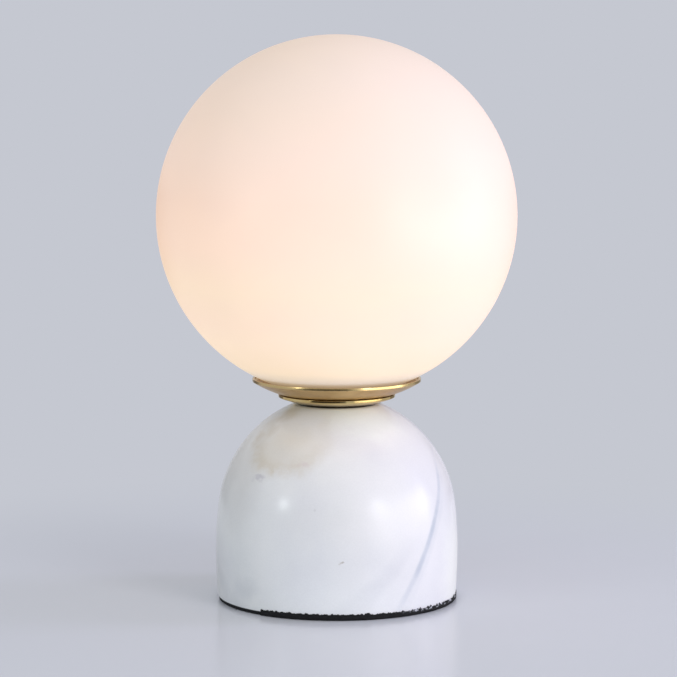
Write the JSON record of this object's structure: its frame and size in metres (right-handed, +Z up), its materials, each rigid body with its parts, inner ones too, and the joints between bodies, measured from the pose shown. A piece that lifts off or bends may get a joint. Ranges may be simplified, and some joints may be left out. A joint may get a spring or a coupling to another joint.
{
  "type": "table lamp",
  "caption": "Opal glass globe on a brass cup and disc above a domed white marble base; the globe lifts off and the bulb pulls out of its holder.",
  "frame": {"origin": "centre of the underside of the base pad, on the lamp's axis, at table height", "axes": "+Z up along the lamp's axis, -Y to the front, +Y to the cord inlet at the back, +X to the right seen from the front"},
  "size_m": [0.2, 0.1998, 0.3142],
  "materials": {
    "opal_glass": "satin",
    "white_marble": "honed, with grey and ochre veins",
    "satin_brass": "satin with a polished rim",
    "polished_brass": "polished",
    "turned_brass": "turned",
    "contact_brass": "plain",
    "black_foam": "matt",
    "black_rubber": "matt",
    "white_silicone": "satin",
    "zinc_steel": "bright zinc",
    "pin_steel": "drawn wire",
    "turned_aluminium": "turned",
    "white_nylon": "moulded",
    "black_nylon": "moulded",
    "brown_sleeve": "extruded",
    "blue_sleeve": "extruded",
    "white_ceramic": "glazed",
    "frosted_cover": "frosted",
    "lit_board": "printed board"
  },
  "bodies": {
    "base": {"marble_base": "white_marble", "base_pad": "black_foam", "bottom_plate": "zinc_steel", "cord_bush": "black_nylon", "disc_gasket": "black_rubber", "base_disc": "polished_brass", "brass_cup": "satin_brass", "globe_boss": "turned_brass", "boss_screws": "zinc_steel", "threaded_tube": "zinc_steel", "fender_washer": "zinc_steel", "lower_tooth_washer": "zinc_steel", "upper_tooth_washer": "zinc_steel", "lower_nut": "zinc_steel", "upper_nut": "zinc_steel", "lower_bush": "white_nylon", "upper_bush": "white_nylon", "holder_bracket": "zinc_steel", "lampholder": "white_ceramic", "holder_contacts": "contact_brass", "holder_screws": "zinc_steel", "terminal_block": "white_nylon", "terminal_inserts": "contact_brass", "terminal_screws": "zinc_steel", "block_screw": "zinc_steel", "block_nut": "zinc_steel", "live_lead": "brown_sleeve", "neutral_lead": "blue_sleeve"},
    "globe": {"glass_globe": "opal_glass", "globe_collar": "turned_aluminium", "collar_seal": "white_silicone"},
    "bulb": {"bulb_base": "white_nylon", "bulb_capsule": "frosted_cover", "light_board": "lit_board", "bulb_pins": "pin_steel"}
  },
  "joints": [
    {"name": "globe_lift", "type": "slide", "parent": "base", "child": "globe", "axis": [0, 0, 1], "range_m": [0, 0.09]},
    {"name": "bulb_pull", "type": "slide", "parent": "base", "child": "bulb", "axis": [0, 0, 1], "range_m": [0, 0.025]}
  ]
}
